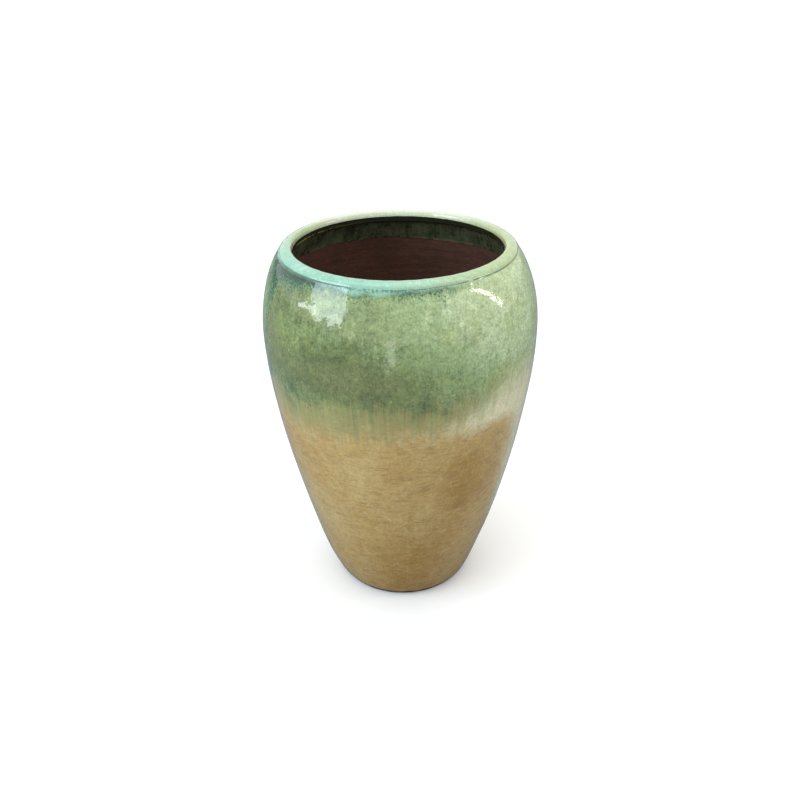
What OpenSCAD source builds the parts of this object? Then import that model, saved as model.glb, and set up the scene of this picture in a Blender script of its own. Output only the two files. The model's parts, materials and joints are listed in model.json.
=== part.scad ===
// Tall glazed terracotta planter jar.
// The clay body is one outline turned about Z. It is built up from a base slab, three wall
// rings and a rim coil, luted together along bevelled joints, and coated with four glazes.
// Origin: centre of the resting face. +Z is up.

/* [Outline] */
// Overall height, rim glaze included
pot_h = 830; // [800:5:860]
// Greatest diameter of the clay
belly_d = 599; // [570:1:630]
// Height of the greatest diameter
belly_h = 646; // [620:2:670]
// Diameter of the clay at the outer edge of the rim
rim_d = 501; // [480:1:508]
// Diameter of the glazed mouth, at its narrowest
mouth_d = 447; // [440:1:452]
// Diameter of the resting face
foot_d = 303; // [290:1:320]

/* [Walls] */
// Wall thickness just above the base slab
lower_wall_t = 26; // [22:0.5:30]
// Wall thickness at the rim
upper_wall_t = 18; // [16:0.5:21]
// Thickness of the base slab
slab_t = 26; // [22:1:32]
// Height of the joint between the lower and the middle wall ring
lower_joint_h = 285; // [200:5:360]
// Height of the joint between the middle wall ring and the shoulder
upper_joint_h = 560; // [460:5:620]
// Width and height of the clay coil pressed into the corner above the slab
corner_coil_w = 26; // [16:1:36]

/* [Rim] */
// Height of the domed rim above its crease
dome_h = 10.5; // [8:0.5:14]
// Diameter of the highest line of the domed rim, which lies nearer to the mouth
crown_d = 462; // [456:1:476]
// Height of the upright inner face of the rim below the crease
land_h = 10; // [6:0.5:12]

/* [Foot and drain] */
// Radius of the drain hole
drain_r = 16; // [10:0.5:25]
// Chamfer at both ends of the drain hole
drain_chamfer = 2; // [1:0.5:4]
// Radius of the hollow under the slab
hollow_r = 118; // [80:1:130]
// Depth of the hollow under the slab
hollow_d = 5; // [2:0.5:8]

/* [Glaze] */
// Thickness of every glaze coat
glaze_t = 1.2; // [0.8:0.1:2]
// Height at which the honey glaze starts above the bare foot
honey_from_h = 11; // [8:1:20]
// Height at which the green glaze takes over from the honey glaze
green_from_h = 526; // [420:2:600]
// Depth of the glazed band inside the mouth, from the top of the rim
inner_band = 78; // [50:1:120]

/* [Hidden] */

turn_fn = 180;      // segments of OpenSCAD's own mesh; the exported solids are true cones
lower_steps = 48;   // steps of the outline from the foot to the belly
upper_steps = 22;   // steps of the outline from the belly to the rim crease
last = lower_steps + upper_steps;
lap = 2;            // steps by which a joint climbs from the outside to the inside
arc_step = 10;      // degrees between the points of an arc

belly_r = belly_d / 2;
rim_r = rim_d / 2;
crown_r = crown_d / 2;
mouth_r = mouth_d / 2 + glaze_t;   // of the clay
foot_r = foot_d / 2;
crease_h = pot_h - glaze_t - dome_h;
land_z = crease_h - land_h;

// Two cubic curves give the outline. The first starts almost flat, which rounds the foot.
foot_handle = [27, 8];
lower_fullness = 227;
upper_fullness = 84;
crease_handle = [21, 22];
lower_curve = [
    [foot_r, 0],
    [foot_r, 0] + foot_handle,
    [belly_r, belly_h - lower_fullness],
    [belly_r, belly_h]
];
upper_curve = [
    [belly_r, belly_h],
    [belly_r, belly_h + upper_fullness],
    [rim_r + crease_handle[0], crease_h - crease_handle[1]],
    [rim_r, crease_h]
];

function cubic(p, t) =
    pow(1 - t, 3) * p[0] + 3 * t * pow(1 - t, 2) * p[1] + 3 * t * t * (1 - t) * p[2] + pow(t, 3) * p[3];
function cubic_slope(p, t) =
    pow(1 - t, 2) * (p[1] - p[0]) + 2 * t * (1 - t) * (p[2] - p[1]) + t * t * (p[3] - p[2]);
function share(k) = k <= lower_steps ? k / lower_steps : (k - lower_steps) / upper_steps;
function curve(k) = k <= lower_steps ? lower_curve : upper_curve;
function outline(k) = cubic(curve(k), share(k));
function inward(k) = let (d = cubic_slope(curve(k), share(k))) [-d[1], d[0]] / norm(d);
function thickness(k) = lower_wall_t + (upper_wall_t - lower_wall_t) * k / last;

// Points of the outline moved inwards by depth, and of the inner wall face moved inwards by extra
function skin(k, depth) = outline(k) + depth * inward(k);
function lining(k, extra = 0) = skin(k, thickness(k) + extra);
function steps(a, b) = a <= b ? [a : b] : [a : -1 : b];
function outer_run(a, b, depth = 0) = [for (k = steps(a, b)) skin(k, depth)];
function inner_run(a, b, extra = 0) = [for (k = steps(a, b)) lining(k, extra)];

// The last step of the outline, and of the inner face, that is no higher than h
function step_at(h) = max([for (k = [0 : last]) if (outline(k)[1] <= h) k]);
function inner_step_at(h) = max([for (k = [0 : last]) if (lining(k)[1] <= h) k]);

slab_k = step_at(slab_t + 2);
wall_foot_k = inner_step_at(slab_t) + 1;
lower_joint_k = step_at(lower_joint_h);
upper_joint_k = step_at(upper_joint_h);
rim_k = last - 1;
honey_k = step_at(honey_from_h);
green_k = step_at(green_from_h);
band_k = inner_step_at(pot_h - inner_band);

// Where the inner wall face, carried straight down, meets the floor
wall_foot = lining(wall_foot_k);
wall_foot_slope = lining(wall_foot_k + 1) - wall_foot;
floor_corner = wall_foot - (wall_foot[1] - slab_t) / wall_foot_slope[1] * wall_foot_slope;

// The rim above its crease, and its rounded underside where the coil overhangs the inner wall;
// skin_t swells both by the thickness of a coat
function dome_reach(a) = a < 90 ? rim_r - crown_r : crown_r - mouth_r;
function dome(skin_t = 0) = [
    for (a = [0 : arc_step : 180])
        [crown_r + (dome_reach(a) + skin_t) * cos(a), crease_h + (dome_h + skin_t) * sin(a)]
];
function underside(skin_t = 0) =
    let (from = [mouth_r - skin_t, land_z], span = lining(rim_k - 1, skin_t) - from)
    [for (a = [0 : arc_step : 90]) from + [span[0] * (1 - cos(a)), span[1] * sin(a)]];

function reversed(points) = [for (i = [len(points) - 1 : -1 : 0]) points[i]];

module turned(points) {
    rotate_extrude($fn = turn_fn) polygon(points);
}

// A closed ring between two runs of points that face each other
module coat(under, over) {
    turned(concat(under, reversed(over)));
}

module base_slab() {
    hollow_side = 6;
    color("sienna") turned(concat(
        [
            [drain_r + drain_chamfer, slab_t],
            [drain_r, slab_t - drain_chamfer],
            [drain_r, hollow_d + drain_chamfer],
            [drain_r + drain_chamfer, hollow_d],
            [hollow_r, hollow_d],
            [hollow_r + hollow_side, 0]
        ],
        outer_run(0, slab_k),
        [floor_corner]
    ));
}

module corner_coil() {
    coil_top_k = inner_step_at(slab_t + corner_coil_w);
    on_wall = inner_run(wall_foot_k, coil_top_k);
    top = lining(coil_top_k);
    toe = floor_corner - [corner_coil_w, 0];
    hug = 0.55;   // how far the hollow is drawn towards the corner
    hollow_curve = [top, top + hug * (floor_corner - top), toe + hug * (floor_corner - toe), toe];
    hollow = [for (t = [0.1 : 0.1 : 0.95]) cubic(hollow_curve, t)];
    color("sienna") turned(concat([floor_corner], on_wall, hollow, [toe]));
}

module wall_ring(from_k, to_k, inner_from_k, inner_to_k, seat = []) {
    color("sienna") turned(concat(
        outer_run(from_k, to_k),
        inner_run(inner_to_k, inner_from_k),
        seat
    ));
}

module lower_wall() {
    wall_ring(slab_k, lower_joint_k, wall_foot_k, lower_joint_k + lap, [floor_corner]);
}

module middle_wall() {
    wall_ring(lower_joint_k, upper_joint_k, lower_joint_k + lap, upper_joint_k + lap);
}

module shoulder_wall() {
    wall_ring(upper_joint_k, rim_k, upper_joint_k + lap, rim_k - 1);
}

module rim_coil() {
    color("sienna") turned(concat([outline(rim_k)], dome(), underside()));
}

module honey_glaze() {
    color("darkkhaki") coat(outer_run(honey_k, green_k), outer_run(honey_k, green_k, -glaze_t));
}

module green_glaze() {
    color("darkseagreen") coat(outer_run(green_k, rim_k - 1), outer_run(green_k, rim_k - 1, -glaze_t));
}

module rim_glaze() {
    color("aquamarine") coat(
        concat(outer_run(rim_k - 1, rim_k), dome(), underside()),
        concat(outer_run(rim_k - 1, rim_k, -glaze_t), dome(glaze_t), underside(glaze_t))
    );
}

module inner_glaze() {
    color("darkolivegreen") coat(
        inner_run(rim_k - 1, band_k),
        inner_run(rim_k - 1, band_k, glaze_t)
    );
}

base_slab();
corner_coil();
lower_wall();
middle_wall();
shoulder_wall();
rim_coil();
honey_glaze();
green_glaze();
rim_glaze();
inner_glaze();
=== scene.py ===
import json
import math

import bpy
import numpy as np
from mathutils import Matrix, Vector


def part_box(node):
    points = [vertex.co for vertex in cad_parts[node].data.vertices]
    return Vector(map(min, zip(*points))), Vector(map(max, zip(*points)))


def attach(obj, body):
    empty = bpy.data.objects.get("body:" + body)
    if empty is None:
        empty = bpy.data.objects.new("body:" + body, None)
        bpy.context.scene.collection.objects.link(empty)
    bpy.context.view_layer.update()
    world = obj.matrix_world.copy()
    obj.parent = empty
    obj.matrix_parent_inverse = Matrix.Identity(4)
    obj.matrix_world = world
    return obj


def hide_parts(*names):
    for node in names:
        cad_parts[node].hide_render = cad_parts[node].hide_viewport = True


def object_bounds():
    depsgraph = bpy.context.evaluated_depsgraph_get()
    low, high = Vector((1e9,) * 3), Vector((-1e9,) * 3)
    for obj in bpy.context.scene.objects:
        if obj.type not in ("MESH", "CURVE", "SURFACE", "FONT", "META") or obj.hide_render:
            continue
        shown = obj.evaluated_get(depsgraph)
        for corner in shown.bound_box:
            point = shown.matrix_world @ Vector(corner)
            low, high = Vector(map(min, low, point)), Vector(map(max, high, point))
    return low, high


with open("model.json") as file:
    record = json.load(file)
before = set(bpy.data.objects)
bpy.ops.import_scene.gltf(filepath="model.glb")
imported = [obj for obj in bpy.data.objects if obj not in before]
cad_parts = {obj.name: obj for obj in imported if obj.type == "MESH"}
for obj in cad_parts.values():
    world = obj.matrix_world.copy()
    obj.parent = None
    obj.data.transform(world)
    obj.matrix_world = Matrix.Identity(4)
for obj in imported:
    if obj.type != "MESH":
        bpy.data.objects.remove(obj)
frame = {"record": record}
cad_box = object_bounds()

# ---------------------------------------------------------------- sizes, in metres
MM = 0.001
MOUNTS = {mount["name"]: mount for mount in frame["record"]["mounts"]}
POT_H = cad_box[1].z
GLAZE_T = POT_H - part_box("rim_coil")[1].z
MOUTH_R = MOUNTS["mouth"]["dims"]["r_mm"] * MM + GLAZE_T    # of the clay
DRAIN_R = MOUNTS["drain_hole"]["dims"]["r_mm"] * MM
BELLY_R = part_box("shoulder_wall")[1].x
BELLY_H = 0.646
FOOT_R = 0.1515
RIM_R = 0.2505
CROWN_R = 0.231
DOME_H = 0.0105
LAND_H = 0.010
CREASE_H = POT_H - GLAZE_T - DOME_H
LAND_Z = CREASE_H - LAND_H
LOWER_WALL_T = 0.026
UPPER_WALL_T = 0.018
DRAIN_CHAMFER = 0.002
HOLLOW_R = 0.118
HOLLOW_D = 0.005
HOLLOW_SIDE = 0.006
CORNER_COIL_W = 0.026

# The jar's two cubic curves, foot to belly and belly to crease, and the share of the whole
# outline at which the first one ends
LOWER_CURVE = np.array([
    (FOOT_R, 0),
    (FOOT_R + 0.027, 0.008),
    (BELLY_R, BELLY_H - 0.227),
    (BELLY_R, BELLY_H),
])
UPPER_CURVE = np.array([
    (BELLY_R, BELLY_H),
    (BELLY_R, BELLY_H + 0.084),
    (RIM_R + 0.021, CREASE_H - 0.022),
    (RIM_R, CREASE_H),
])
BELLY_SHARE = 48 / 70

SEGMENTS = 540          # round the jar
EDGE_STEP = 0.0009      # between rings where a coat ends or the rim creases
FINE_STEP = 0.0040      # between rings on faces that show
FOOT_STEP = 0.002       # between rings on the bare foot
COARSE_STEP = 0.030     # between rings on faces that are covered
HEM_H = 0.006           # how far a coat's ragged end is built in the finest steps
TURN = np.linspace(-math.pi, math.pi, SEGMENTS, endpoint=False)


# ---------------------------------------------------------------- outline
def cubic(points, t):
    t = np.asarray(t)[..., None]
    ends = (1 - t) ** 3 * points[0] + t ** 3 * points[3]
    return ends + 3 * t * (1 - t) ** 2 * points[1] + 3 * t * t * (1 - t) * points[2]


def outline(share):
    """(radius, height) of the clay's outside, for shares from 0 at the foot to 1 at the crease."""
    share = np.asarray(share, float)
    low = cubic(LOWER_CURVE, np.minimum(share / BELLY_SHARE, 1))
    high = cubic(UPPER_CURVE, np.maximum((share - BELLY_SHARE) / (1 - BELLY_SHARE), 0))
    return np.where((share < BELLY_SHARE)[..., None], low, high)


def outward(share):
    """The way out of the wall, square to its outside."""
    nudge = 1e-4
    share = np.asarray(share, float)
    along = outline(np.minimum(share + nudge, 1)) - outline(np.maximum(share - nudge, 0))
    normal = np.stack([along[..., 1], -along[..., 0]], -1)
    return normal / np.linalg.norm(normal, axis=-1, keepdims=True)


def wall_t(share):
    """The wall's thickness, which thins out upwards."""
    return LOWER_WALL_T + (UPPER_WALL_T - LOWER_WALL_T) * np.asarray(share)


def skin(share, depth=0.0):
    """The outline moved inwards by depth."""
    return outline(share) - outward(share) * np.asarray(depth)[..., None]


def lining(share, extra=0.0):
    """The wall's inner face, moved inwards by extra."""
    return skin(share, wall_t(share) + extra)


SHARES = np.linspace(0, 1, 2001)
OUTER_HEIGHTS = outline(SHARES)[:, 1]
INNER_HEIGHTS = lining(SHARES)[:, 1]


def outer_share(height):
    return np.interp(height, OUTER_HEIGHTS, SHARES)


def inner_share(height):
    return np.interp(height, INNER_HEIGHTS, SHARES)


# Where one clay piece ends and the next begins, outside and inside, as the frame has them
SLAB_OUT = outer_share(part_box("base_slab")[1].z)
SLAB_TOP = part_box("lower_wall")[0].z
SLAB_IN = inner_share(SLAB_TOP)
LOWER_OUT = outer_share(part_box("middle_wall")[0].z)
LOWER_IN_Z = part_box("lower_wall")[1].z
LOWER_IN = inner_share(LOWER_IN_Z)
UPPER_OUT = outer_share(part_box("shoulder_wall")[0].z)
UPPER_IN_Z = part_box("middle_wall")[1].z
UPPER_IN = inner_share(UPPER_IN_Z)
RIM_OUT = outer_share(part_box("shoulder_wall")[1].z)
RIM_IN = inner_share(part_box("rim_coil")[0].z)
COIL_TOP = inner_share(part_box("corner_coil")[1].z)
HONEY_FROM_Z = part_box("honey_glaze")[0].z + GLAZE_T / 2
POOL_FROM = outer_share(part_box("green_glaze")[1].z)
BAND_FROM_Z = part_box("inner_glaze")[0].z
WALL_FOOT = lining(SLAB_IN)


# ---------------------------------------------------------------- uneven handwork
def swell(turn, height, seed, waves, around, length):
    """A wavy field that closes round the jar, with a spread of about 1: the sum of waves with
    around[0] to around[1] crests round the jar, length[0] to length[1] metres long upwards."""
    rng = np.random.default_rng(seed)
    total = 0.0
    for _ in range(waves):
        crests = int(rng.integers(around[0], around[1] + 1))
        climb = rng.choice([-1, 1]) * 2 * math.pi / rng.uniform(*length)
        total = total + np.cos(crests * turn + climb * height + rng.uniform(0, 2 * math.pi))
    return total / math.sqrt(waves / 2)


def ease(value, low, high):
    """0 below low, 1 above high, smooth between."""
    t = np.clip((value - low) / (high - low), 0, 1)
    return t * t * (3 - 2 * t)


def bell(value, centre, width):
    """1 at centre, fading out over width."""
    return np.exp(-((value - centre) / width) ** 2)


def facing(turn, centre, width):
    """1 on the side of the jar at centre, fading out over width, both in degrees."""
    away = (np.degrees(turn) - centre + 180) % 360 - 180
    return bell(away, 0, width)


def sides(turn, *patches):
    """What patches add up to, each an amount, the side of the jar it is on and its width."""
    return sum(amount * facing(turn, centre, width) for amount, centre, width in patches)


def hand_set(points):
    """Moves points of any piece as the whole jar sags and leans, so that its pieces still meet."""
    x, y, z = points[..., 0], points[..., 1], points[..., 2]
    turn = np.arctan2(y, x)
    lean = -0.0025 * bell(z, 0.085, 0.065) - 0.0018 * ease(z, 0.7, CREASE_H)
    oval = 0.002 * (0.5 - 0.5 * np.cos(2 * turn)) * ease(z, 0.05, 0.3)
    dip = sides(turn, (0.0024, -100, 50), (0.0008, 60, 50)) * ease(z, 0.7, CREASE_H)
    return np.stack([x * (1 - oval) + lean, y * (1 - oval), z - dip], -1)


def run_line(turn):
    """Height to which the green glaze has run, drips aside."""
    uneven = 0.012 * swell(turn, 0, 10, 6, (1, 4), (1, 2)) * (1 - facing(turn, -90, 75))
    return (
        0.523
        + sides(turn, (0.036, -42, 24), (0.022, -28, 15), (-0.016, -142, 20))
        + 0.003 * swell(turn, 0, 11, 12, (5, 17), (1, 2))
        + uneven
    )


def drips(turn):
    """How far the green glaze hangs below its run line in separate drips."""
    rng = np.random.default_rng(21)
    reach = np.zeros_like(turn)
    spacing = 3.6
    for centre in np.arange(-180, 180, spacing):
        at = centre + rng.uniform(-0.45, 0.45) * spacing
        half = rng.uniform(0.4, 1.2)
        long = 0.002 + 0.014 * rng.uniform() ** 2
        reach = np.maximum(reach, long * facing(turn, at, half))
    return reach


def above_run(turn, height):
    """Height above the lower edge of the green glaze."""
    return height - run_line(turn) + drips(turn)


def pool_line(turn):
    """Height to which the rim's glaze has run over the crease."""
    flooded = sides(turn, (0.0075, -103, 14), (0.00525, 95, 30))
    ragged = 0.0012 * (1 + swell(turn, 0, 31, 14, (6, 48), (1, 2)))
    return CREASE_H + 0.0015 - flooded - ragged


def wavering(turn, seed, waves, around):
    """A wavy amount about 1 that never falls to 0, for an end that mustn't pass its level."""
    wave = np.clip(swell(turn, 0, seed, waves, around, (1, 2)), -1.6, 1.6)
    return 1 + 0.6 * wave


def foot_line(turn):
    """Height at which the honey glaze stops above the bare foot."""
    return HONEY_FROM_Z + 0.0016 * wavering(turn, 41, 14, (3, 23))


def band_line(turn):
    """Height at which the glaze inside the mouth stops."""
    return BAND_FROM_Z + 0.0030 * wavering(turn, 51, 12, (2, 14))


def glaze_relief(turn, height):
    """The outer coat's surface, below the nominal skin, in metres."""
    broad = 0.16 * swell(turn, height, 1, 24, (1, 7), (0.16, 0.6))
    lumps = 0.045 * swell(turn, height, 2, 40, (9, 36), (0.04, 0.14))
    rings = 0.03 * swell(turn, height, 3, 24, (0, 2), (0.014, 0.034)) * ease(-height, -0.75, -0.35)
    above = above_run(turn, height)
    run_edge = 0.22 * ease(above, -0.004, 0.004) * (1 - 0.7 * ease(above, 0.01, 0.09))
    foot_edge = -0.9 * (1 - np.sqrt(np.clip((height - foot_line(turn)) / 0.003, 0, 1)))
    return MM * np.clip(broad + lumps + rings + run_edge + foot_edge - 0.5, -1.05, 0)


def crease_open(turn):
    """How open the crease under the rim is: 0 where glaze has run into it and filled it up."""
    side = 0.15 + sides(turn, (0.85, -45, 30), (0.5, 40, 60))
    return side * ease(pool_line(turn), CREASE_H - 0.004, CREASE_H)


def crease_relief(turn, height):
    """The coats' surface near the crease, with its groove or its filling of glaze."""
    groove = -0.9 * bell(height, CREASE_H, 0.0013) * crease_open(turn)
    filled = 1.5 * bell(height, CREASE_H, 0.0045) * (1 - crease_open(turn))
    return np.maximum(glaze_relief(turn, height) + MM * (groove + filled), -1.6 * MM)


def dome_relief(turn, height):
    """The thick glaze on the rim, which is lumpy but smooth."""
    lumps = 0.12 * swell(turn, 0.4 * height, 61, 30, (5, 60), (0.05, 0.2))
    return MM * np.clip(lumps - 0.3, -0.8, 0)


def band_relief(turn, height):
    """The glaze inside the mouth, which ends in a bead."""
    bead = 0.5 * bell(height, band_line(turn) + 0.0025, 0.002)
    lumps = 0.2 * swell(turn, height, 62, 30, (3, 30), (0.03, 0.12))
    end = -0.9 * (1 - np.sqrt(np.clip((height - band_line(turn)) / 0.002, 0, 1)))
    return MM * (bead + lumps + end)


def lining_relief(turn, height):
    """The hand-smoothed inside of the wall: spiral finger ridges, and the smeared joints of the rings."""
    wander = 1.5 * swell(turn, height, 5, 10, (0, 3), (0.1, 0.3))
    spiral = 0.3 * np.cos(2 * math.pi * height / 0.021 + turn + wander)
    uneven = 0.4 * swell(turn, height, 6, 24, (1, 9), (0.05, 0.3))
    joints = 0.0
    for joint in (LOWER_IN_Z, UPPER_IN_Z):
        at = joint + 0.0015 * swell(turn, 0, 7, 9, (2, 11), (1, 2))
        joints = joints + 0.9 * bell(height, at + 0.006, 0.005) - 0.8 * bell(height, at, 0.0022)
    fade = ease(-height, -BAND_FROM_Z - 0.004, -BAND_FROM_Z + 0.03)
    return MM * ((spiral + uneven) * fade + joints)


# ---------------------------------------------------------------- meshes
def no_relief(turn, height):
    return np.zeros(np.broadcast(turn, height).shape)


class Face:
    """One face of a turned section. points are (radius, height), one row of them for each ring,
    alike round the jar or one for each segment. push is the direction of relief, which is a
    function of turn and height. sort says what kind of surface it is."""

    def __init__(self, points, push=None, relief=no_relief, sort="body"):
        points = np.atleast_2d(points)
        self.points = points if points.ndim == 3 else points[:, None, :]
        push = np.zeros(2) if push is None else np.asarray(push)
        self.push = push[:, None, :] if push.ndim == 2 else push
        self.relief = relief
        self.sort = sort

    def rings(self):
        turn = TURN[None, :]
        height = self.points[..., 1]
        lift = self.relief(turn, height)
        radius = self.points[..., 0] + self.push[..., 0] * lift
        level = height + self.push[..., 1] * lift
        radius, level = np.broadcast_arrays(radius, level + 0 * turn)
        return np.stack([radius * np.cos(turn), radius * np.sin(turn), level], -1)

    def without_first(self):
        """Drops the ring that the face before this one already has."""
        self.points = self.points[1:]
        self.push = self.push[1:]
        return self


def shares_between(a, b, step):
    """Shares from a to b, either of which may be one for each segment."""
    middle = outline(np.linspace(np.mean(a), np.mean(b), 60))
    length = np.linalg.norm(np.diff(middle, axis=0), axis=1).sum()
    return np.linspace(a, b, max(2, round(length / step) + 1))


def outer_face(a, b, depth=0.0, step=COARSE_STEP, relief=no_relief, sort="body"):
    """A face that follows the outline at a depth, from share a to share b."""
    s = shares_between(a, b, step)
    return Face(skin(s, depth), outward(s), relief, sort)


def inner_face(a, b, extra=0.0, step=COARSE_STEP, relief=no_relief, sort="body"):
    """A face that follows the wall's inner face, from share a to share b."""
    s = shares_between(a, b, step)
    return Face(lining(s, extra), -outward(s), relief, sort)


def straight(*corners, step=COARSE_STEP):
    """Straight stretches from corner to corner, without the last corner."""
    made = []
    for a, b in zip(corners[:-1], corners[1:]):
        n = max(1, round(math.dist(a, b) / step))
        made += [np.array(a) + (np.array(b) - np.array(a)) * i / n for i in range(n)]
    return Face(np.array(made))


def dome(swollen=0.0, step=10, start=0):
    """The domed rim's section, from its outer foot over the crown to the mouth, and its way out."""
    a = np.radians(np.arange(start, 180 + step / 2, step))
    arc = np.stack([np.cos(a), np.sin(a)], -1)
    reach = np.where(a < math.pi / 2, RIM_R - CROWN_R, CROWN_R - MOUTH_R)
    size = np.stack([reach, np.full_like(a, DOME_H)], -1) + swollen
    return np.array([CROWN_R, CREASE_H]) + size * arc, arc


def underside(swollen=0.0, step=10):
    """The rim's overhang inside the mouth, from its straight land back to the wall."""
    a = np.radians(np.arange(0, 90 + step / 2, step))
    start = np.array([MOUTH_R - swollen, LAND_Z])
    span = lining(RIM_IN, swollen) - start
    return start + np.stack([span[0] * (1 - np.cos(a)), span[1] * np.sin(a)], -1)


# ---------------------------------------------------------------- marks for the finishes
def pool_mark(turn, height):
    """How far the rim's glaze covers the green one."""
    line = pool_line(turn)
    return ease(height, line - 0.008, line + 0.003)


def smudge_mark(turn, height):
    """The grey-blue stain that ran from the rim's glaze over the shoulder."""
    strength = 0.12 + sides(turn, (1.4, -86, 22), (2.2, -143, 24), (0.5, -114, 12))
    strength = strength + sides(turn, (0.7, 60, 18), (0.9, 128, 22))
    reach = 0.009 + sides(turn, (0.004, -146, 20), (0.003, -86, 24), (0.045, -161, 9))
    reach = reach + 0.003 * swell(turn, 0, 71, 12, (4, 20), (1, 2))
    return strength * np.exp(-np.maximum(CREASE_H - height, 0) / np.maximum(reach, 0.005))


def pale_mark(turn, height):
    """How pale the sage glaze is: palest on one side, deeper down the belly."""
    side = 0.08 + sides(turn, (1.0, -38, 46), (0.4, 110, 45))
    deep = 0.4 * ease(-height, -0.74, -0.60)
    shoulder = 0.3 * facing(turn, -58, 26) * ease(height, 0.73, 0.79)
    return side - deep + shoulder + 0.12 * swell(turn, height, 72, 16, (1, 5), (0.3, 0.9))


def olive_mark(turn, height):
    """Brown olive clouds on the belly."""
    clouds = 0.8 * facing(turn, -112, 35) * bell(height, 0.64, 0.06)
    clouds = clouds + 0.6 * facing(turn, -153, 12) * bell(height, 0.67, 0.08)
    clouds = clouds + 0.8 * facing(turn, 70, 30) * bell(height, 0.65, 0.05)
    return clouds + 0.5 * facing(turn, 140, 20) * bell(height, 0.61, 0.05)


def toast_mark(turn, height):
    """Toasted patches of the honey glaze."""
    patches = 0.55 * facing(turn, -58, 16) * bell(height, 0.37, 0.10)
    patches = patches + 0.45 * facing(turn, -85, 30) * ease(-height, -0.36, -0.12)
    return patches + 0.6 * facing(turn, 60, 35) * bell(height, 0.33, 0.13) + 0.25


def cream_mark(turn, height):
    """The cream coloured zone just below the green glaze, and the pale side under it."""
    below = bell(height, run_line(turn) - 0.002, 0.046)
    side = 0.3 + sides(turn, (1.3, -36, 30), (0.2, 100, 40))
    return below * side + 1.2 * facing(turn, -20, 15) * ease(height, 0.05, 0.35)


def crease_shade_mark(turn, height):
    """Painted shade: the dark line in the crease, where it is open."""
    return bell(height, CREASE_H, 0.0012) * crease_open(turn)


def mint_mark(turn, height):
    """Where the rim's glaze is turquoise."""
    return facing(turn, -128, 68)


def blanch_mark(turn, height):
    """Where the rim's glaze has gone cream."""
    return facing(turn, 92, 62)


def arris_mark(turn, radius):
    """The rim's inner edge, where the glaze is thin."""
    return bell(radius, MOUTH_R + 0.0015, 0.003) * (0.2 + facing(turn, -122, 40))


def ledge_mark(turn, height):
    """The ochre line along the lower edge of the rim's land."""
    return bell(height, LAND_Z, 0.0012) * facing(turn, 163, 30)


MARKS = {
    "run": above_run,
    "pool": pool_mark,
    "smudge": smudge_mark,
    "pale": pale_mark,
    "olive": olive_mark,
    "toast": toast_mark,
    "cream": cream_mark,
    "crease": crease_shade_mark,
    "mint": mint_mark,
    "blanch": blanch_mark,
}
MARK_SOCKETS = tuple(name.capitalize() for name in MARKS)
RIM_POOL = 1.6          # the pool mark where nothing but the rim's glaze shows


def write_marks(piece, grid, sorts):
    """Writes what the finishes need to know about each point of a coat to its mesh."""
    turn = np.arctan2(grid[..., 1], grid[..., 0])
    radius = np.hypot(grid[..., 0], grid[..., 1])
    height = grid[..., 2]
    on_dome = sorts == "dome"
    on_land = sorts == "land"
    on_rim = on_dome | on_land
    values = {name: mark(turn, height) for name, mark in MARKS.items()}
    for name in ("smudge", "crease"):
        values[name] = np.where(on_rim, 0, values[name])
    values["pool"] = np.where(on_rim, RIM_POOL, values["pool"])
    values["arris"] = on_dome * arris_mark(turn, radius)
    values["land"] = on_land * 1.0
    values["ledge"] = on_land * ledge_mark(turn, height)
    for name, value in values.items():
        attribute = piece.data.attributes.new(name, "FLOAT", "POINT")
        attribute.data.foreach_set("value", value.astype(np.float32).ravel())


def turned(name, faces, material, node, marked=False):
    """A closed ring of the section that faces make, turned about Z, as the piece that stands
    for a node of the frame. A marked piece carries the marks that its glazes need."""
    plain_grid = np.concatenate([face.rings() for face in faces])
    sorts = np.concatenate([np.full(len(face.points), face.sort) for face in faces])[:, None]
    grid = hand_set(plain_grid)
    count = len(grid)
    i, j = np.meshgrid(np.arange(count), np.arange(SEGMENTS), indexing="ij")
    up, on = (i + 1) % count * SEGMENTS, (j + 1) % SEGMENTS
    corners = np.stack([i * SEGMENTS + j, i * SEGMENTS + on, up + on, up + j], -1).reshape(-1, 4)
    mesh = bpy.data.meshes.new(name)
    mesh.from_pydata(grid.reshape(-1, 3).tolist(), [], corners.tolist())
    mesh.polygons.foreach_set("use_smooth", np.ones(len(corners), bool))
    mesh.set_sharp_from_angle(angle=math.radians(50))
    mesh.materials.append(material)
    piece = bpy.data.objects.new(name, mesh)
    bpy.context.scene.collection.objects.link(piece)
    if marked:
        write_marks(piece, plain_grid, np.broadcast_to(sorts, plain_grid.shape[:2]))
    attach(piece, "root")
    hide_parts(node)
    return piece


# ---------------------------------------------------------------- node tools
def paint(red, green, blue):
    """A colour as a screen shows it, 0 to 255, as shaders take it."""

    def straightened(value):
        value /= 255
        return value / 12.92 if value <= 0.04045 else ((value + 0.055) / 1.055) ** 2.4

    return tuple(straightened(value) for value in (red, green, blue)) + (1.0,)


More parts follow.
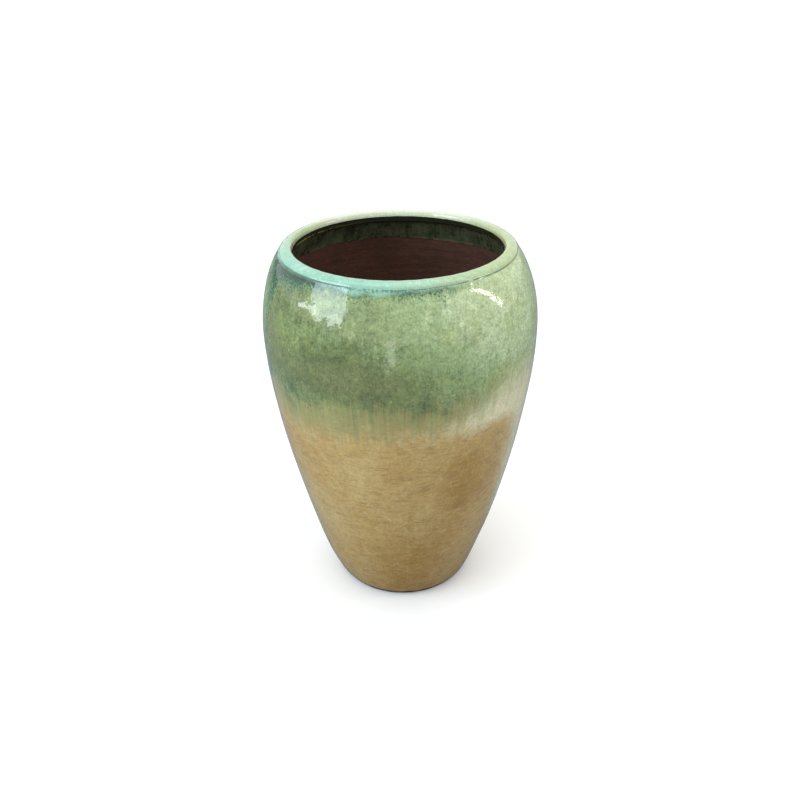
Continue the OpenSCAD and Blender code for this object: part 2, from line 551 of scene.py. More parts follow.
class Tree:
    """Short ways to add nodes to a material or a group."""

    def __init__(self, tree):
        self.tree = tree

    def add(self, kind, inputs=None, **settings):
        made = self.tree.nodes.new("ShaderNode" + kind)
        for key, value in settings.items():
            setattr(made, key, value)
        for key, value in (inputs or {}).items():
            self.feed(made.inputs[key], value)
        return made

    def feed(self, socket, value):
        if isinstance(value, bpy.types.NodeSocket):
            self.tree.links.new(value, socket)
        else:
            socket.default_value = value

    def calc(self, operation, *values):
        return self.add("Math", dict(enumerate(values)), operation=operation).outputs[0]

    def plus(self, first, *others):
        for other in others:
            first = self.calc("ADD", first, other)
        return first

    def times(self, a, b):
        return self.calc("MULTIPLY", a, b)

    def sway(self, value, amount):
        """A value from 0 to 1, turned into one that swings by amount about 0."""
        return self.times(self.calc("SUBTRACT", value, 0.5), amount)

    def shift(self, place, x, y, z):
        return self.add("VectorMath", {0: place, 1: (x, y, z)}, operation="ADD").outputs["Vector"]

    def mix(self, share, a, b, how="MIX"):
        inputs = {"Factor": share, 6: a, 7: b}
        return self.add("Mix", inputs, data_type="RGBA", blend_type=how).outputs[2]

    def ease(self, value, low, high, start=0.0, end=1.0):
        inputs = {"Value": value, "From Min": low, "From Max": high, "To Min": start, "To Max": end}
        return self.add("MapRange", inputs, interpolation_type="SMOOTHSTEP").outputs["Result"]

    def noise(self, place, scale, detail=2.0, rough=0.5):
        inputs = {"Vector": place, "Scale": scale, "Detail": detail, "Roughness": rough}
        return self.add("TexNoise", inputs).outputs["Fac"]

    def height_of(self, place):
        return self.add("SeparateXYZ", {0: place}).outputs["Z"]

    def use(self, group, **inputs):
        made = self.add("Group", node_tree=group)
        for key, value in inputs.items():
            self.feed(made.inputs[key], value)
        return made.outputs

    def mark(self, name):
        return self.add("Attribute", attribute_name=name).outputs["Fac"]


def new_group(name, inputs, outputs):
    """A shader group with its sockets: its tree tools, what it takes and what it gives."""
    tree = bpy.data.node_groups.new(name, "ShaderNodeTree")
    for key, default in inputs.items():
        kind = "NodeSocketVector" if default is None else "NodeSocketFloat"
        socket = tree.interface.new_socket(key, in_out="INPUT", socket_type=kind)
        if default is not None:
            socket.default_value = default
    for key, kind in outputs.items():
        tree.interface.new_socket(key, in_out="OUTPUT", socket_type="NodeSocket" + kind)
    taken = tree.nodes.new("NodeGroupInput").outputs
    given = tree.nodes.new("NodeGroupOutput").inputs
    return tree, Tree(tree), taken, given


# ---------------------------------------------------------------- shared effects
def group_meridian():
    """Places as if the jar were a cylinder, stretched upwards, so that a texture runs straight down."""
    inputs = {"Place": None, "Stretch": 1.0}
    tree, t, taken, given = new_group("meridian_place", inputs, {"Along": "Vector"})
    split = t.add("SeparateXYZ", {0: taken["Place"]}).outputs
    flat = t.add("CombineXYZ", {"X": split["X"], "Y": split["Y"], "Z": 0.0}).outputs[0]
    around = t.add("VectorMath", {0: flat}, operation="NORMALIZE").outputs["Vector"]
    around = t.add("VectorMath", {0: around, "Scale": BELLY_R}, operation="SCALE").outputs["Vector"]
    up = t.add("CombineXYZ", {"Z": t.calc("DIVIDE", split["Z"], taken["Stretch"])}).outputs[0]
    t.feed(given["Along"], t.add("VectorMath", {0: around, 1: up}, operation="ADD").outputs["Vector"])
    return tree


def group_streaks():
    """Vertical runs in a glaze, broad and fine together, from 0 to 1."""
    inputs = {"Place": None, "Width": 0.01, "Stretch": 14.0, "Contrast": 0.6}
    tree, t, taken, given = new_group("glaze_streaks", inputs, {"Mask": "Float"})
    along = t.use(MERIDIAN, Place=taken["Place"], Stretch=taken["Stretch"])["Along"]
    scale = t.calc("DIVIDE", 1.0, taken["Width"])
    both = t.plus(t.times(t.noise(along, scale), 0.6), t.times(t.noise(along, t.times(scale, 3.3)), 0.4))
    stark = t.plus(0.5, t.times(t.sway(both, 4.0), taken["Contrast"]))
    t.feed(given["Mask"], t.ease(stark, 0.0, 1.0))
    return tree


def group_mottle():
    """Clouded patches, from 0 to 1, with soft or hard edges."""
    inputs = {"Place": None, "Size": 0.05, "Softness": 0.2, "Level": 0.5}
    tree, t, taken, given = new_group("mottle", inputs, {"Mask": "Float"})
    cloud = t.noise(taken["Place"], t.calc("DIVIDE", 1.0, taken["Size"]), 5.0, 0.62)
    low = t.calc("SUBTRACT", taken["Level"], taken["Softness"])
    t.feed(given["Mask"], t.ease(cloud, low, t.plus(taken["Level"], taken["Softness"])))
    return tree


def group_specks():
    """Small round specks, such as iron spots, pinholes or grit: 1 inside a speck."""
    inputs = {"Place": None, "Spacing": 0.006, "Size": 0.25, "Share": 0.4}
    tree, t, taken, given = new_group("specks", inputs, {"Mask": "Float"})
    scale = t.calc("DIVIDE", 1.0, taken["Spacing"])
    cells = t.add("TexVoronoi", {"Vector": taken["Place"], "Scale": scale})
    chance = t.add("SeparateXYZ", {0: cells.outputs["Color"]}).outputs
    size = t.times(taken["Size"], t.plus(t.times(chance["Y"], 0.8), 0.4))
    inside = t.ease(cells.outputs["Distance"], size, t.times(size, 0.6))
    t.feed(given["Mask"], t.times(inside, t.calc("LESS_THAN", chance["X"], taken["Share"])))
    return tree


def group_crystal_grain():
    """The fine grain of a fired glaze, as a factor about 1 on its colour."""
    inputs = {"Place": None, "Size": 0.005, "Strength": 1.0}
    tree, t, taken, given = new_group("crystal_grain", inputs, {"Shade": "Float"})
    scale = t.calc("DIVIDE", 1.0, taken["Size"])
    fine = t.noise(taken["Place"], scale, 3.0, 0.75)
    coarse = t.noise(taken["Place"], t.times(scale, 0.36), 2.0, 0.6)
    swing = t.times(t.plus(t.sway(fine, 1.3), t.sway(coarse, 0.7)), taken["Strength"])
    t.feed(given["Shade"], t.plus(1.0, swing))
    return tree


def group_drawn_lines():
    """Thin, wavy, broken lines round the jar, as fingers and brushes leave them: 1 on a line."""
    inputs = {"Place": None, "Length": 0.09, "Spacing": 0.014, "Line": 0.05, "Broken": 0.5}
    tree, t, taken, given = new_group("drawn_lines", inputs, {"Mask": "Float"})
    wave = t.add("CombineXYZ", {"Z": t.sway(t.noise(taken["Place"], 14.0, 2.0), 0.04)}).outputs[0]
    place = t.add("VectorMath", {0: taken["Place"], 1: wave}, operation="ADD").outputs["Vector"]
    stretch = t.calc("DIVIDE", taken["Spacing"], taken["Length"])
    along = t.use(MERIDIAN, Place=place, Stretch=stretch)["Along"]
    field = t.noise(along, t.calc("DIVIDE", 1.0, taken["Length"]), 3.0, 0.6)
    line = t.ease(t.calc("ABSOLUTE", t.calc("SUBTRACT", field, 0.5)), taken["Line"], 0.0)
    kept = t.noise(taken["Place"], 33.0, 3.0, 0.6)
    low = t.calc("SUBTRACT", taken["Broken"], 0.08)
    high = t.plus(taken["Broken"], 0.08)
    t.feed(given["Mask"], t.times(line, t.ease(kept, low, high)))
    return tree


def group_crazing():
    """A net of fine lines round small uneven cells: 1 on a line."""
    inputs = {"Place": None, "Size": 0.01, "Line": 0.12}
    tree, t, taken, given = new_group("crazing", inputs, {"Mask": "Float"})
    bent = t.add("TexNoise", {"Vector": taken["Place"], "Scale": 90.0, "Detail": 2.0}).outputs["Color"]
    bent = t.add("VectorMath", {0: bent, "Scale": 0.012}, operation="SCALE").outputs["Vector"]
    place = t.add("VectorMath", {0: taken["Place"], 1: bent}, operation="ADD").outputs["Vector"]
    scale = t.calc("DIVIDE", 1.0, taken["Size"])
    cells = t.add("TexVoronoi", {"Vector": place, "Scale": scale}, feature="DISTANCE_TO_EDGE")
    t.feed(given["Mask"], t.ease(cells.outputs["Distance"], taken["Line"], 0.0))
    return tree


def group_peel():
    """The height of a fired glaze's surface in millimetres: waves, orange peel and pits."""
    inputs = {"Place": None, "Waves": 0.1, "Peel": 0.03, "Pits": 0.1}
    tree, t, taken, given = new_group("glaze_peel", inputs, {"Height": "Float", "Pit": "Float"})
    waves = t.times(t.noise(taken["Place"], 62.0), taken["Waves"])
    peel = t.times(t.noise(taken["Place"], 140.0, 1.0), taken["Peel"])
    pit = t.use(SPECKS, Place=taken["Place"], Spacing=0.009, Size=0.16, Share=0.35)["Mask"]
    t.feed(given["Height"], t.calc("SUBTRACT", t.plus(waves, peel), t.times(pit, taken["Pits"])))
    t.feed(given["Pit"], pit)
    return tree


def group_clay_grain():
    """Bare fired clay: standing grit, fine drag lines round the jar, and stains."""
    outputs = {"Height": "Float", "Grit": "Float", "Stain": "Float", "Shade": "Float"}
    tree, t, taken, given = new_group("clay_grain", {"Place": None, "Grit": 0.1, "Drag": 1.0}, outputs)
    grit = t.use(SPECKS, Place=taken["Place"], Spacing=0.0045, Size=0.32, Share=0.5)["Mask"]
    rough = t.noise(taken["Place"], 320.0, 4.0, 0.7)
    drawn = t.use(MERIDIAN, Place=taken["Place"], Stretch=0.12)["Along"]
    drag = t.times(t.sway(t.noise(drawn, 26.0, 4.0, 0.6), 1.0), taken["Drag"])
    stain = t.use(MOTTLE, Place=taken["Place"], Size=0.09, Softness=0.16, Level=0.52)["Mask"]
    t.feed(given["Height"], t.plus(t.times(grit, taken["Grit"]), t.times(rough, 0.14), t.times(drag, 0.3)))
    t.feed(given["Grit"], grit)
    t.feed(given["Stain"], stain)
    t.feed(given["Shade"], t.plus(t.times(drag, 0.4), t.times(rough, 0.6), 0.2))
    return tree


MERIDIAN = group_meridian()
STREAKS = group_streaks()
MOTTLE = group_mottle()
SPECKS = group_specks()
GRAIN = group_crystal_grain()
DRAWN_LINES = group_drawn_lines()
CRAZING = group_crazing()
PEEL = group_peel()
CLAY_GRAIN = group_clay_grain()

# ---------------------------------------------------------------- colours
DEEP_SAGE = paint(98, 110, 68)
SAGE = paint(146, 166, 114)
CELADON = paint(190, 206, 162)
LIME_SAGE = paint(158, 170, 100)
OLIVE = paint(118, 122, 76)
SEA_GREEN = paint(114, 142, 106)
KHAKI = paint(156, 154, 100)
HONEY = paint(190, 153, 88)
PALE_HONEY = paint(214, 188, 130)
TOASTED_HONEY = paint(166, 122, 44)
BROWN_HONEY = paint(124, 92, 48)
FOOT_HONEY = paint(158, 112, 32)
CREAM = paint(230, 222, 182)
TEAL_WASH = paint(70, 116, 82)
TEAL = paint(28, 62, 46)
TURQUOISE = paint(132, 180, 158)
PALE_MINT = paint(186, 212, 184)
CREAM_MINT = paint(200, 212, 184)
RIM_SAGE = paint(164, 180, 130)
# the colour of the painted shade in the open crease under the rim
CREASE_SHADE = paint(84, 100, 70)
THIN_EDGE = paint(196, 146, 116)
DARK_OLIVE = paint(38, 44, 30)
GREY_OLIVE = paint(92, 100, 74)
# partly painted shade: darker than the inner glaze, for the land inside the lip
LIP_SHADE_OLIVE = paint(22, 26, 16)
OCHRE = paint(172, 150, 84)
RED_CLAY = paint(114, 70, 52)
BROWN_CLAY = paint(72, 50, 40)
PALE_CLAY = paint(150, 100, 76)
DARK_FOOT = paint(66, 54, 32)


# ---------------------------------------------------------------- glaze colours
def group_sage():
    """Sage green glaze: deep sage to pale celadon, with olive and sea green patches."""
    inputs = {"Place": None, "Pale": 0.0, "Olive": 0.0, "Sea": 0.0}
    tree, t, taken, given = new_group("sage_glaze", inputs, {"Color": "Color"})
    place = taken["Place"]
    cloud = t.noise(place, 9.0, 4.0, 0.6)
    patch = t.noise(place, 27.0, 5.0, 0.65)
    fleck = t.noise(place, 125.0, 4.0, 0.72)
    thread = t.use(STREAKS, Place=place, Width=0.006, Stretch=14.0, Contrast=0.7)["Mask"]
    uneven = t.plus(t.sway(cloud, 0.9), t.sway(patch, 0.9), t.sway(fleck, 0.9), t.sway(thread, 0.16))
    pale = t.plus(taken["Pale"], uneven)
    colour = t.mix(t.ease(pale, -0.25, 0.5), DEEP_SAGE, SAGE)
    colour = t.mix(t.ease(pale, 0.45, 1.25), colour, CELADON)
    elsewhere = t.shift(place, 4.0, 1.0, 2.0)
    lime = t.use(MOTTLE, Place=elsewhere, Size=0.07, Softness=0.14, Level=0.53)["Mask"]
    colour = t.mix(t.times(lime, 0.4), colour, LIME_SAGE)
    sea = t.plus(taken["Sea"], t.sway(cloud, 0.8), t.sway(fleck, 0.6))
    colour = t.mix(t.ease(sea, 0.3, 1.0, 0.0, 0.75), colour, SEA_GREEN)
    olive = t.plus(taken["Olive"], t.sway(patch, 1.1), t.sway(fleck, 0.5))
    colour = t.mix(t.ease(olive, 0.25, 0.8, 0.0, 0.85), colour, OLIVE)
    net = t.use(CRAZING, Place=place, Size=0.011, Line=0.10)["Mask"]
    colour = t.mix(t.times(t.times(net, t.ease(patch, 0.42, 0.6)), 0.1), colour, CELADON)
    grain = t.use(GRAIN, Place=place, Size=0.0046, Strength=1.2)["Shade"]
    t.feed(given["Color"], t.mix(1.0, colour, grain, "MULTIPLY"))
    return tree


def group_honey():
    """Honey glaze over brushed slip: pale and toasted patches, drawn lines and light runs."""
    inputs = {"Place": None, "Toast": 0.0, "Cream": 0.0}
    tree, t, taken, given = new_group("honey_glaze", inputs, {"Color": "Color"})
    place = t.shift(taken["Place"], 3.1, 1.7, 0.0)
    cloud = t.noise(place, 8.0, 4.0, 0.6)
    patch = t.noise(place, 24.0, 5.0, 0.65)
    fleck = t.noise(place, 125.0, 4.0, 0.72)
    pale = t.plus(t.sway(cloud, 1.8), t.sway(patch, 1.2), t.sway(fleck, 0.4))
    colour = t.mix(t.ease(pale, -0.45, 0.6), HONEY, PALE_HONEY)
    toast = t.plus(taken["Toast"], t.sway(patch, 1.3), t.sway(cloud, 0.6), t.sway(fleck, 0.8))
    colour = t.mix(t.ease(toast, 0.1, 0.95, 0.0, 0.9), colour, TOASTED_HONEY)
    brushed = {"Length": 0.13, "Spacing": 0.013, "Line": 0.06, "Broken": 0.47}
    dark = t.use(DRAWN_LINES, Place=taken["Place"], **brushed)["Mask"]
    colour = t.mix(t.times(dark, 0.3), colour, BROWN_HONEY)
    above = t.shift(taken["Place"], 0.0, 0.0, 0.7)
    light = t.use(DRAWN_LINES, Place=above, Spacing=0.013, Line=0.045)["Mask"]
    colour = t.mix(t.times(light, 0.32), colour, PALE_HONEY)
    thread = t.use(STREAKS, Place=taken["Place"], Width=0.008, Stretch=12.0, Contrast=0.9)["Mask"]
    thread = t.times(t.ease(thread, 0.6, 1.0), t.ease(cloud, 0.42, 0.6))
    colour = t.mix(t.times(thread, 0.18), colour, PALE_HONEY)
    cream = t.plus(taken["Cream"], t.sway(patch, 0.9), t.sway(fleck, 0.8))
    colour = t.mix(t.ease(cream, 0.2, 1.0, 0.0, 0.9), colour, CREAM)
    colour = t.mix(t.ease(t.height_of(taken["Place"]), 0.2, 0.0, 0.0, 0.25), colour, FOOT_HONEY)
    grain = t.use(GRAIN, Place=place, Size=0.0044, Strength=0.55)["Shade"]
    t.feed(given["Color"], t.mix(1.0, colour, grain, "MULTIPLY"))
    return tree


def group_turquoise():
    """The thick glaze of the rim: turquoise where it pools, pale mint or sage where it is thin."""
    inputs = {"Place": None, "Mint": 0.0, "Blanch": 0.0}
    tree, t, taken, given = new_group("turquoise_glaze", inputs, {"Color": "Color"})
    place = t.shift(taken["Place"], 1.3, 2.9, 0.0)
    patch = t.noise(place, 30.0, 5.0, 0.65)
    fleck = t.noise(place, 125.0, 4.0, 0.72)
    runs = t.use(STREAKS, Place=taken["Place"], Width=0.007, Stretch=8.0, Contrast=0.7)["Mask"]
    mint = t.plus(taken["Mint"], t.sway(patch, 0.8), t.sway(fleck, 0.5))
    colour = t.mix(t.ease(mint, 0.1, 0.9), RIM_SAGE, TURQUOISE)
    pale = t.plus(t.sway(patch, 1.0), t.sway(fleck, 0.9), t.sway(runs, 0.2))
    colour = t.mix(t.ease(pale, -0.05, 0.5, 0.0, 0.7), colour, PALE_MINT)
    blanch = t.plus(taken["Blanch"], t.sway(patch, 0.5), t.sway(fleck, 0.4))
    colour = t.mix(t.ease(blanch, 0.2, 0.8), colour, CREAM_MINT)
    grain = t.use(GRAIN, Place=place, Size=0.0046, Strength=0.5)["Shade"]
    t.feed(given["Color"], t.mix(1.0, colour, grain, "MULTIPLY"))
    return tree


SAGE_GLAZE = group_sage()
HONEY_GLAZE = group_honey()
TURQUOISE_GLAZE = group_turquoise()


def group_run_glazes():
    """The three outer glazes, run into each other from the rim down, with their specks."""
    inputs = {"Place": None}
    inputs.update({mark: 0.0 for mark in MARK_SOCKETS})
    tree, t, taken, given = new_group("run_glazes", inputs, {"Color": "Color", "Matt": "Float"})
    place = taken["Place"]
    patch = t.noise(place, 30.0, 4.0, 0.65)
    drop = t.noise(place, 230.0, 3.0, 0.75)
    streak = t.use(STREAKS, Place=place, Width=0.012, Stretch=16.0, Contrast=0.7)["Mask"]
    thread = t.use(STREAKS, Place=place, Width=0.0045, Stretch=20.0, Contrast=0.8)["Mask"]

    sea = t.ease(taken["Run"], 0.12, 0.07, 0.0, 0.25)
    sage = t.use(SAGE_GLAZE, Place=place, Pale=taken["Pale"], Olive=taken["Olive"], Sea=sea)["Color"]
    honey = t.use(HONEY_GLAZE, Place=place, Toast=taken["Toast"], Cream=taken["Cream"])["Color"]
    edge = t.plus(taken["Run"], t.sway(streak, 0.03), t.sway(thread, 0.018), t.sway(patch, 0.08))
    colour = t.mix(t.ease(edge, -0.022, 0.082), honey, sage)
    level = t.plus(taken["Run"], t.sway(thread, 0.03), t.sway(patch, 0.08))
    away = t.calc("ABSOLUTE", t.calc("SUBTRACT", level, 0.024))
    veil = t.times(t.ease(away, 0.055, 0.0, 0.0, 0.6), t.ease(taken["Cream"], 0.9, 0.2, 0.2, 1.0))
    colour = t.mix(veil, colour, KHAKI)

    wash = t.plus(taken["Smudge"], t.sway(patch, 0.8), t.sway(drop, 0.8), t.sway(streak, 0.5))
    stained = t.ease(taken["Smudge"], 0.02, 0.25)
    colour = t.mix(t.times(stained, t.ease(wash, 0.05, 0.9, 0.0, 0.85)), colour, TEAL_WASH)
    spot = t.plus(t.times(taken["Smudge"], 0.34), t.sway(drop, 1.6), t.sway(patch, 0.3))
    colour = t.mix(t.times(stained, t.ease(spot, 0.14, 0.4, 0.0, 0.85)), colour, TEAL)
    rim = t.use(TURQUOISE_GLAZE, Place=place, Mint=taken["Mint"], Blanch=taken["Blanch"])["Color"]
    pool = t.plus(taken["Pool"], t.sway(drop, 1.1), t.sway(patch, 0.9))
    colour = t.mix(t.times(t.ease(taken["Pool"], 0.0, 0.2), t.ease(pool, 0.0, 1.0)), colour, rim)
    colour = t.mix(t.times(stained, t.ease(spot, 0.3, 0.5, 0.0, 0.7)), colour, TEAL)
    # painted shade along the open crease under the rim
    colour = t.mix(t.times(taken["Crease"], 0.75), colour, CREASE_SHADE)

    iron = t.use(SPECKS, Place=place, Spacing=0.009, Size=0.17, Share=0.4)["Mask"]
    elsewhere = t.shift(place, 1.7, 0.4, 2.3)
    pinhole = t.use(SPECKS, Place=elsewhere, Spacing=0.012, Size=0.13, Share=0.3)["Mask"]
    colour = t.mix(t.times(iron, 0.5), colour, BROWN_HONEY)
    colour = t.mix(t.times(pinhole, 0.5), colour, CREAM)
    t.feed(given["Color"], colour)
    t.feed(given["Matt"], t.plus(t.sway(patch, 0.12), t.sway(drop, 0.1)))
    return tree


RUN_GLAZES = group_run_glazes()


# ---------------------------------------------------------------- materials
GLAZE_IOR = 1.6         # a little shinier than the shader's own 1.5


def new_material(name):
    """A material, its tree tools, its shader and places on the piece in metres."""
    material = bpy.data.materials.new(name)
    material.use_nodes = True
    t = Tree(material.node_tree)
    shader = material.node_tree.nodes["Principled BSDF"]
    place = t.add("TexCoord").outputs["Object"]
    return material, t, shader, place


def raise_surface(t, shader, height, strength=1.0):
    """Feeds a height in millimetres to the shader's normal."""
    made = t.add("Bump", {"Height": height, "Distance": MM, "Strength": strength})
    t.feed(shader.inputs["Normal"], made.outputs["Normal"])


def outer_coat(name, waves, peel, lip=False):
    """The run glazes as a shiny coat. With lip, it also has the rim's arris, land and ledge, the land
    painted darker as shade under the rim.
    """
    material, t, shader, place = new_material(name)
    made = t.use(RUN_GLAZES, Place=place, **{socket: t.mark(socket.lower()) for socket in MARK_SOCKETS})
    colour = made["Color"]
    if lip:
        broken = t.noise(place, 55.0, 5.0, 0.7)
        thin = t.times(t.mark("arris"), t.ease(broken, 0.36, 0.56))
        colour = t.mix(t.times(thin, 0.85), colour, THIN_EDGE)
        # the land is olive glaze, painted darker than the same glaze below it as painted shade inside the
        # lip
        dark = t.mix(t.noise(place, 45.0, 4.0, 0.7), LIP_SHADE_OLIVE, DARK_OLIVE)
        colour = t.mix(t.ease(t.plus(t.mark("land"), t.sway(broken, 0.5)), 0.3, 0.7), colour, dark)
        ledge = t.times(t.mark("ledge"), t.ease(broken, 0.38, 0.55))
        colour = t.mix(t.times(ledge, 0.85), colour, OCHRE)
    bumps = t.use(PEEL, Place=place, Waves=waves, Peel=peel, Pits=0.12)
    rough = t.plus(t.times(made["Matt"], 0.4), t.times(bumps["Pit"], 0.3), 0.05)
    t.feed(shader.inputs["Base Color"], colour)
    t.feed(shader.inputs["Roughness"], rough)
    shader.inputs["IOR"].default_value = GLAZE_IOR
    raise_surface(t, shader, bumps["Height"])
    return material


def inner_coat():
    """The dark olive glaze inside the mouth, rusty in patches and ochre along its end."""
    material, t, shader, place = new_material("olive_inner_glaze")
    streak = t.use(STREAKS, Place=place, Width=0.016, Stretch=4.0, Contrast=0.7)["Mask"]
    patch = t.noise(place, 22.0, 5.0, 0.7)
    fleck = t.noise(place, 130.0, 4.0, 0.75)
    light = t.plus(t.sway(patch, 1.6), t.sway(fleck, 1.0), t.sway(streak, 0.5))
    colour = t.mix(t.ease(light, -0.5, 0.5), DARK_OLIVE, GREY_OLIVE)
    rust = t.use(MOTTLE, Place=place, Size=0.06, Softness=0.1, Level=0.6)["Mask"]
    colour = t.mix(t.times(rust, 0.25), colour, BROWN_CLAY)
    bead = t.ease(t.height_of(place), BAND_FROM_Z + 0.009, BAND_FROM_Z + 0.003)
    colour = t.mix(t.times(bead, t.ease(patch, 0.4, 0.62, 0.0, 0.3)), colour, OCHRE)
    bumps = t.use(PEEL, Place=place, Waves=0.4, Peel=0.14, Pits=0.15)
    t.feed(shader.inputs["Base Color"], colour)
    t.feed(shader.inputs["Roughness"], t.ease(patch, 0.3, 0.7, 0.18, 0.4))
    raise_surface(t, shader, bumps["Height"])
    return material


def bare_clay(name, light, dark, foot=False):
    """Bare fired clay. On the foot, its outside is darker above its lowest 3 mm."""
    material, t, shader, place = new_material(name)
    grain = t.use(CLAY_GRAIN, Place=place, Grit=0.14, Drag=0.0 if foot else 1.0)
    colour = t.mix(t.ease(grain["Shade"], 0.36, 0.64), dark, light)
    colour = t.mix(t.times(grain["Stain"], 0.5), colour, dark)
    colour = t.mix(t.times(grain["Grit"], 0.3), colour, PALE_CLAY)
    if foot:
        side = t.add("SeparateXYZ", {0: place}).outputs
        radius = t.calc("SQRT", t.plus(t.times(side["X"], side["X"]), t.times(side["Y"], side["Y"])))
        darker_outside = t.times(t.ease(radius, FOOT_R - 0.006, FOOT_R + 0.001), t.ease(side["Z"], 0.0, 0.003))
        colour = t.mix(t.times(darker_outside, 0.8), colour, DARK_FOOT)
    t.feed(shader.inputs["Base Color"], colour)
    t.feed(shader.inputs["Roughness"], t.ease(grain["Shade"], 0.3, 0.7, 0.8, 0.95))
    raise_surface(t, shader, grain["Height"], 0.8)
    return material


HONEY_COAT = outer_coat("honey_run_glaze", 0.4, 0.08)
GREEN_COAT = outer_coat("sage_run_glaze", 0.5, 0.14)
RIM_COAT = outer_coat("turquoise_rim_glaze", 0.25, 0.07, lip=True)
OLIVE_COAT = inner_coat()
INSIDE_CLAY = bare_clay("bare_red_clay", RED_CLAY, BROWN_CLAY)
FOOT_CLAY = bare_clay("foot_clay", PALE_CLAY, BROWN_CLAY, foot=True)


# ---------------------------------------------------------------- pieces
def make_foot_slab():
    under = [
        (DRAIN_R + DRAIN_CHAMFER, SLAB_TOP),
        (DRAIN_R, SLAB_TOP - DRAIN_CHAMFER),
        (DRAIN_R, HOLLOW_D + DRAIN_CHAMFER),
        (DRAIN_R + DRAIN_CHAMFER, HOLLOW_D),
        (HOLLOW_R, HOLLOW_D),
        (HOLLOW_R + HOLLOW_SIDE, 0),
        (FOOT_R, 0),
    ]
    faces = [
        straight(*under),
        outer_face(0, SLAB_OUT, 0, FOOT_STEP),
        straight(tuple(WALL_FOOT), under[0], step=FINE_STEP),
    ]
    turned("foot_slab", faces, FOOT_CLAY, "base_slab")


def make_corner_coil():
    toe = WALL_FOOT - np.array([CORNER_COIL_W, 0])
    top = lining(COIL_TOP)
    hug = 0.55
    hollow = np.array([top, top + hug * (WALL_FOOT - top), toe + hug * (WALL_FOOT - toe), toe])
    faces = [
        inner_face(SLAB_IN, COIL_TOP),
        Face(cubic(hollow, np.linspace(0.1, 1, 12))),
        straight(tuple(toe + np.array([0.002, 0])), tuple(WALL_FOOT)),
    ]
    turned("corner_clay_coil", faces, INSIDE_CLAY, "corner_coil")


def make_wall_ring(name, node, out_from, out_to, in_from, in_to):
    faces = [
        outer_face(out_from, out_to, GLAZE_T / 2),
        inner_face(in_to, in_from, 0, FINE_STEP, lining_relief),
    ]
    turned(name, faces, INSIDE_CLAY, node)


def make_rim_coil():
    sunk = -GLAZE_T / 2
    low = skin(np.array([RIM_OUT]), GLAZE_T / 2)
    faces = [Face(low), Face(dome(sunk)[0]), Face(underside(sunk))]
    turned("rim_clay_coil", faces, INSIDE_CLAY, "rim_coil")


def make_honey_coat():
    low = outer_share(foot_line(TURN))
    low_end = outer_share(foot_line(TURN) + HEM_H)
    high = outer_share(run_line(TURN))
    faces = [
        outer_face(high, low, GLAZE_T / 2),
        outer_face(low, low_end, -GLAZE_T, EDGE_STEP, glaze_relief),
        outer_face(low_end, high, -GLAZE_T, FINE_STEP, glaze_relief).without_first(),
    ]
    turned("honey_glaze_coat", faces, HONEY_COAT, "honey_glaze", marked=True)


def make_green_coat():
    low = outer_share(run_line(TURN))
    faces = [
        outer_face(POOL_FROM, low, GLAZE_T / 2),
        outer_face(low, POOL_FROM, -GLAZE_T, FINE_STEP, crease_relief),
    ]
    turned("green_glaze_coat", faces, GREEN_COAT, "green_glaze", marked=True)


def make_rim_coat():
    over, up = dome(GLAZE_T, 4, 8)
    lip, ledge = over[-1], underside(GLAZE_T)[0]
    faces = [
        Face(underside()[::-1]),
        Face(dome()[0][:0:-1]),
        outer_face(1, POOL_FROM),
        outer_face(POOL_FROM, 1, -GLAZE_T, EDGE_STEP, crease_relief),
        Face(over, up, dome_relief, "dome"),
        Face(np.linspace(lip, ledge, 9)[1:-1], sort="land"),
        Face(underside(GLAZE_T, 6), sort="land"),
    ]
    turned("rim_glaze_roll", faces, RIM_COAT, "rim_glaze", marked=True)


def make_inner_band():
    low = inner_share(band_line(TURN))
    low_end = inner_share(band_line(TURN) + HEM_H)
    faces = [
        inner_face(low, RIM_IN, -GLAZE_T / 2),
        inner_face(RIM_IN, low_end, GLAZE_T, FINE_STEP, band_relief),
        inner_face(low_end, low, GLAZE_T, EDGE_STEP, band_relief).without_first(),
    ]
    turned("inner_glaze_band", faces, OLIVE_COAT, "inner_glaze")


make_foot_slab()
make_corner_coil()
make_wall_ring("lower_clay_ring", "lower_wall", SLAB_OUT, LOWER_OUT, SLAB_IN, LOWER_IN)
make_wall_ring("middle_clay_ring", "middle_wall", LOWER_OUT, UPPER_OUT, LOWER_IN, UPPER_IN)
make_wall_ring("shoulder_clay_ring", "shoulder_wall", UPPER_OUT, RIM_OUT, UPPER_IN, RIM_IN)
make_rim_coil()
make_honey_coat()
make_green_coat()
make_rim_coat()
make_inner_band()


# ---------------------------------------------------------------- setting
def make_floor():
    """A pale floor, which the glazes reflect as grey-blue paving."""
    material, t, shader, place = new_material("pale_floor")
    cloud = t.noise(place, 3.0)
    pale = t.mix(cloud, (0.93, 0.93, 0.92, 1), (0.96, 0.96, 0.955, 1))
    paving = t.mix(cloud, (0.17, 0.21, 0.25, 1), (0.25, 0.29, 0.33, 1))
    seen = t.add("LightPath").outputs["Is Camera Ray"]
    t.feed(shader.inputs["Base Color"], t.mix(seen, paving, pale))
    shader.inputs["Roughness"].default_value = 0.9
    shader.inputs["Specular IOR Level"].default_value = 0.1
    half = 60
    mesh = bpy.data.meshes.new("floor")
    corners = [(-half, -half, 0), (half, -half, 0), (half, half, 0), (-half, half, 0)]
    mesh.from_pydata(corners, [], [(0, 1, 2, 3)])
    mesh.materials.append(material)
    floor = bpy.data.objects.new("floor", mesh)
    bpy.context.scene.collection.objects.link(floor)


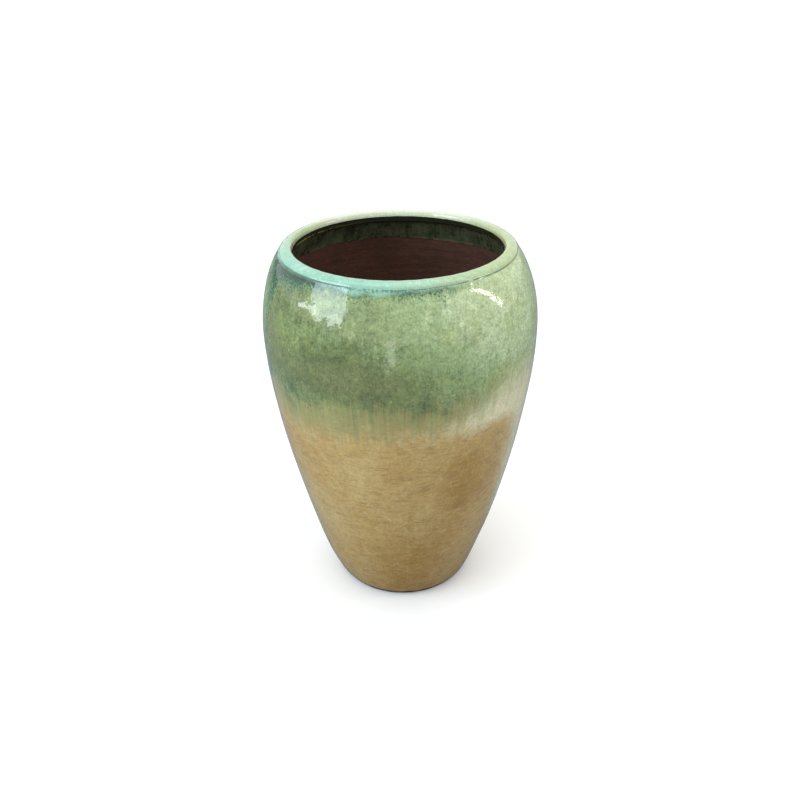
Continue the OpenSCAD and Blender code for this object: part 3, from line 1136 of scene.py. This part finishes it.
def make_camera():
    """A lens at a standing person's height, looking down on the jar."""
    pitch, pan, roll = (math.radians(angle) for angle in (28.605, -0.108, -0.882))
    ahead = Vector((math.sin(pan) * math.cos(pitch), math.cos(pan) * math.cos(pitch), -math.sin(pitch)))
    level = Vector((math.cos(pan), -math.sin(pan), 0))
    up = level.cross(ahead)
    right = math.cos(roll) * level + math.sin(roll) * up
    top = math.cos(roll) * up - math.sin(roll) * level
    data = bpy.data.cameras.new("camera")
    data.lens = 38.25
    camera = bpy.data.objects.new("camera", data)
    turned_to = Matrix((right, top, -ahead)).transposed().to_4x4()
    camera.matrix_world = Matrix.Translation((0, -1.734, 1.393)) @ turned_to
    bpy.context.scene.collection.objects.link(camera)
    bpy.context.scene.camera = camera


def make_softbox(name, at, towards, size, power, colour=(1, 1, 1), roll=0.0):
    """A soft light panel, turned by roll about the way it faces."""
    data = bpy.data.lights.new(name, "AREA")
    data.shape = "RECTANGLE"
    data.size, data.size_y = size
    data.energy = power
    data.color = colour
    light = bpy.data.objects.new(name, data)
    light.location = at
    light.rotation_mode = "QUATERNION"
    aim = (Vector(towards) - Vector(at)).to_track_quat("-Z", "Y")
    light.rotation_quaternion = aim @ Matrix.Rotation(math.radians(roll), 3, "Z").to_quaternion()
    light.visible_camera = False
    bpy.context.scene.collection.objects.link(light)


def make_studio():
    """A large light overhead, and panels for the windows that the glaze mirrors."""
    sky_blue = (0.72, 0.86, 1)
    pale_blue = (0.85, 0.95, 1)
    make_softbox("overhead", (0.2, 0.2, 3.4), (0, 0, 0.6), (2.6, 2.6), 22)
    make_softbox(
        "left_window", (-1.936, -1.053, 1.731), (-0.129, -0.231, 0.784), (1.25, 1.35), 27, sky_blue, 30
    )
    make_softbox(
        "left_low_pane", (-2.334, -0.495, 1.092), (-0.177, -0.213, 0.764), (0.85, 0.2), 3.4, pale_blue, 18
    )
    make_softbox(
        "left_tail_pane", (-1.851, -1.556, 1.137), (-0.12, -0.254, 0.753), (0.5, 0.26), 2.6, pale_blue, 22
    )
    make_softbox("right_strip", (2.217, -0.459, 1.54), (0.165, -0.208, 0.786), (0.17, 1.45), 7, roll=35)
    make_softbox("front_low_pane", (-0.292, -2.456, 0.45), (-0.017, -0.292, 0.7), (0.36, 0.84), 1.6)
    world = bpy.data.worlds.new("studio")
    world.use_nodes = True
    sky = world.node_tree.nodes["Background"].inputs
    sky["Color"].default_value = (0.97, 0.99, 1, 1)
    sky["Strength"].default_value = 1.1
    bpy.context.scene.world = world
    bpy.context.scene.view_settings.view_transform = "Standard"


make_floor()
make_camera()
make_studio()
